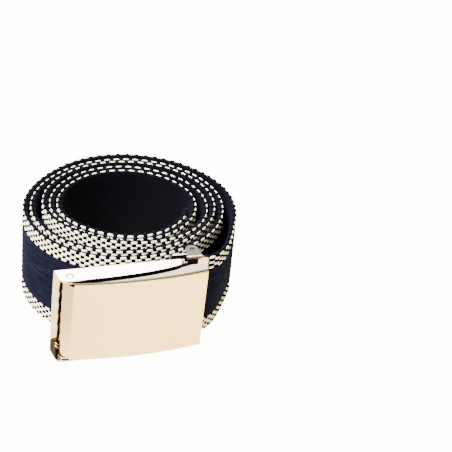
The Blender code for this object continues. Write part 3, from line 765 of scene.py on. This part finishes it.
def finish_metal(tree, shader, tint, rough, shade_and_dull_mask):
    """Colour and roughness linked up, with painted dark brown shade, and duller, where the mask is set.
    """
    tree.links.new(blend_colours(tree, shade_and_dull_mask, tint, PAINTED_SHADE_BROWN), shader.inputs["Base Color"])
    tree.links.new(maths(tree, "MULTIPLY_ADD", shade_and_dull_mask, 0.35, rough), shader.inputs["Roughness"])


# Back plate. One stamping of nickel-plated steel, with two side flanges bent forward to hold the
# cover's pin and two ears bent back to hold the clamp's rod. Its rims are bright and its plate face
# warmer. Its ears are painted near black, as painted shade and dark reflection, and the faces under
# the cover and rings round its holes are painted dark brown as shade.
INNER_HALF = 0.0200
EAR_SHADE = (0.022, 0.018, 0.0155)
PLATE_TINT = (0.60, 0.49, 0.33)
PIN_HOLE = (0.0053, 0.0040)
PIN_HOLE_RADIUS = 0.0014
ROD_HOLE = (0.0560, -0.00525)
ROD_HOLE_RADIUS = 0.00095
UNDER_COVER = (0.0041, 0.0525)
FLANGE_DEPTHS = (-0.0004, 0.0100)
EAR_DEPTHS = (-0.0100, -0.0012)

frame_metal, tree, shader, tint, rough = plated_metal("frame_nickel", (0.66, 0.52, 0.52),
                                                      (0.60, 0.47, 0.45), 0.045)
along, depth, height = buckle_place(tree)
side = maths(tree, "ABSOLUTE", height)
# Painted shade: the inner faces under the cover, and rings round the pin and rod holes, are painted
# dark brown.
under_cover = between(tree, along, *UNDER_COVER, 0.0003)
inner_faces = maths(tree, "MULTIPLY", between(tree, depth, *FLANGE_DEPTHS),
                    ramp(tree, side, INNER_HALF + 0.0002, INNER_HALF + 0.0004, 1.0, 0.0))
from_pin = distance_from(tree, along, depth, PIN_HOLE)
from_rod = distance_from(tree, along, depth, ROD_HOLE)
hole_shade_rings = maths(tree, "MAXIMUM",
                 ramp(tree, from_pin, PIN_HOLE_RADIUS + FINE_EDGE, PIN_HOLE_RADIUS + 0.0003, 1.0, 0.0),
                 ramp(tree, from_rod, ROD_HOLE_RADIUS + FINE_EDGE, ROD_HOLE_RADIUS + 0.0004, 1.0, 0.0))
shade_and_dull_mask = maths(tree, "MAXIMUM", maths(tree, "MULTIPLY", under_cover, inner_faces), hole_shade_rings)
# Painted shade and reflection: the ears are painted near black.
ear = between(tree, depth, *EAR_DEPTHS)
tint = blend_colours(tree, ramp(tree, depth, 0.0003, 0.0012, 1.0, 0.0), tint, PLATE_TINT)
tint = blend_colours(tree, ear, tint, EAR_SHADE)
finish_metal(tree, shader, tint, rough, shade_and_dull_mask)


# Cover. One bowed stamping of brushed, nickel-plated steel, its long edges turned down and its left
# end bent round the pin into a toothed cam. It turns on that pin. Its face is creamier than the frame.
# Its left end is painted darker as shade, its rims are painted greyer as a dark reflection, and within
# it is painted dark brown as shade.
COVER_CENTRE = (0.029684, -0.168135)
COVER_CURVE = 0.177295
COVER_HALF = 0.0197
COVER_LEFT = 0.0066
CAM_BEND = 0.0018
CAM_FACING = (0.713446, -0.700710)
CAM_FOOT = (0.004016, 0.005261)
COVER_SHADED_END = (0.66, 0.51, 0.25)
COVER_SHADE_SPAN = (0.004, 0.045)
COVER_RIM_REFLECTION = (0.115, 0.092, 0.076)

cover_metal, tree, shader, tint, rough = plated_metal("cover_nickel", (0.74, 0.575, 0.255),
                                                      (0.71, 0.54, 0.23), 0.12)
along, depth, height = buckle_place(tree)
from_centre = distance_from(tree, along, depth, COVER_CENTRE)
from_middle = maths(tree, "ABSOLUTE", height)
below_face = ramp(tree, from_centre, COVER_CURVE - 0.0004, COVER_CURVE - FINE_EDGE, 1.0, 0.0)
between_rims = ramp(tree, from_middle, COVER_HALF - 0.0006, COVER_HALF - 0.0003, 1.0, 0.0)
under_face = maths(tree, "MULTIPLY", below_face, ramp(tree, along, COVER_LEFT, COVER_LEFT + 0.0002))
past_slant = maths(tree, "MULTIPLY_ADD", along, CAM_FACING[0],
                   maths(tree, "MULTIPLY_ADD", depth, CAM_FACING[1],
                         -CAM_FACING[0] * CAM_FOOT[0] - CAM_FACING[1] * CAM_FOOT[1]))
behind_slant = maths(tree, "MULTIPLY", ramp(tree, past_slant, FINE_EDGE, 2 * FINE_EDGE),
                     ramp(tree, depth, CAM_FOOT[1], CAM_FOOT[1] + FINE_EDGE))
from_pin = distance_from(tree, along, depth, PIN_HOLE)
near_pin = ramp(tree, from_pin, CAM_BEND - FINE_EDGE, CAM_BEND, 1.0, 0.0)
teeth_at = PIN_HOLE[0] - CAM_BEND
behind_teeth = maths(tree, "MULTIPLY", ramp(tree, along, teeth_at, teeth_at + FINE_EDGE),
                     ramp(tree, depth, PIN_HOLE[1], PIN_HOLE[1] + FINE_EDGE, 1.0, 0.0))
in_cam = maths(tree, "MAXIMUM", maths(tree, "MAXIMUM", behind_slant, near_pin), behind_teeth)
left_of_face = ramp(tree, along, COVER_LEFT - FINE_EDGE, COVER_LEFT, 1.0, 0.0)
in_cam = maths(tree, "MULTIPLY", in_cam, left_of_face)
# Painted shade: under the face and within the cam the cover is painted dark brown.
shade_and_dull_mask = maths(tree, "MULTIPLY", maths(tree, "MAXIMUM", under_face, in_cam), between_rims)
# Painted shade: the cover is painted darker towards its left end.
shaded_end = ramp(tree, along, *COVER_SHADE_SPAN, 1.0, 0.0)
tint = blend_colours(tree, shaded_end, tint, COVER_SHADED_END)
# Painted reflection: the turned-down rims are painted dark grey.
at_rim = ramp(tree, from_middle, COVER_HALF - 0.0003, COVER_HALF - FINE_EDGE)
rim_reflection = maths(tree, "MULTIPLY", at_rim, below_face)
tint = blend_colours(tree, rim_reflection, tint, COVER_RIM_REFLECTION)
finish_metal(tree, shader, tint, rough, shade_and_dull_mask)


# Pins and end clamp. The pins are cut from steel rod and set in the frame's holes, their ends flush
# with its rims. The clamp is a bent, toothed leaf of nickel-plated steel that turns on the rod
# between the ears and grips the strap's fixed end.
pin_metal, tree, shader, tint, rough = plated_metal("pin_steel", (0.60, 0.50, 0.40),
                                                    (0.42, 0.34, 0.27), 0.25)
finish_metal(tree, shader, tint, rough, 0.0)
# Painted shade: the clamp's rod is painted near black.
shaded_rod_metal, tree, shader, tint, rough = plated_metal("shaded_rod_steel", (0.0200, 0.0160, 0.0130),
                                                    (0.0090, 0.0070, 0.0060), 0.30)
finish_metal(tree, shader, tint, rough, 0.0)
clamp_metal, tree, shader, tint, rough = plated_metal("clamp_nickel", (0.40, 0.33, 0.29),
                                                      (0.30, 0.24, 0.21), 0.20)
finish_metal(tree, shader, tint, rough, 0.0)
for name, metal in (("buckle_frame", frame_metal), ("buckle_cover", cover_metal),
                    ("end_clamp", clamp_metal), ("cover_pin", pin_metal), ("clamp_pin", shaded_rod_metal)):
    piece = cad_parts[name]
    piece.data.materials.clear()
    piece.data.materials.append(metal)
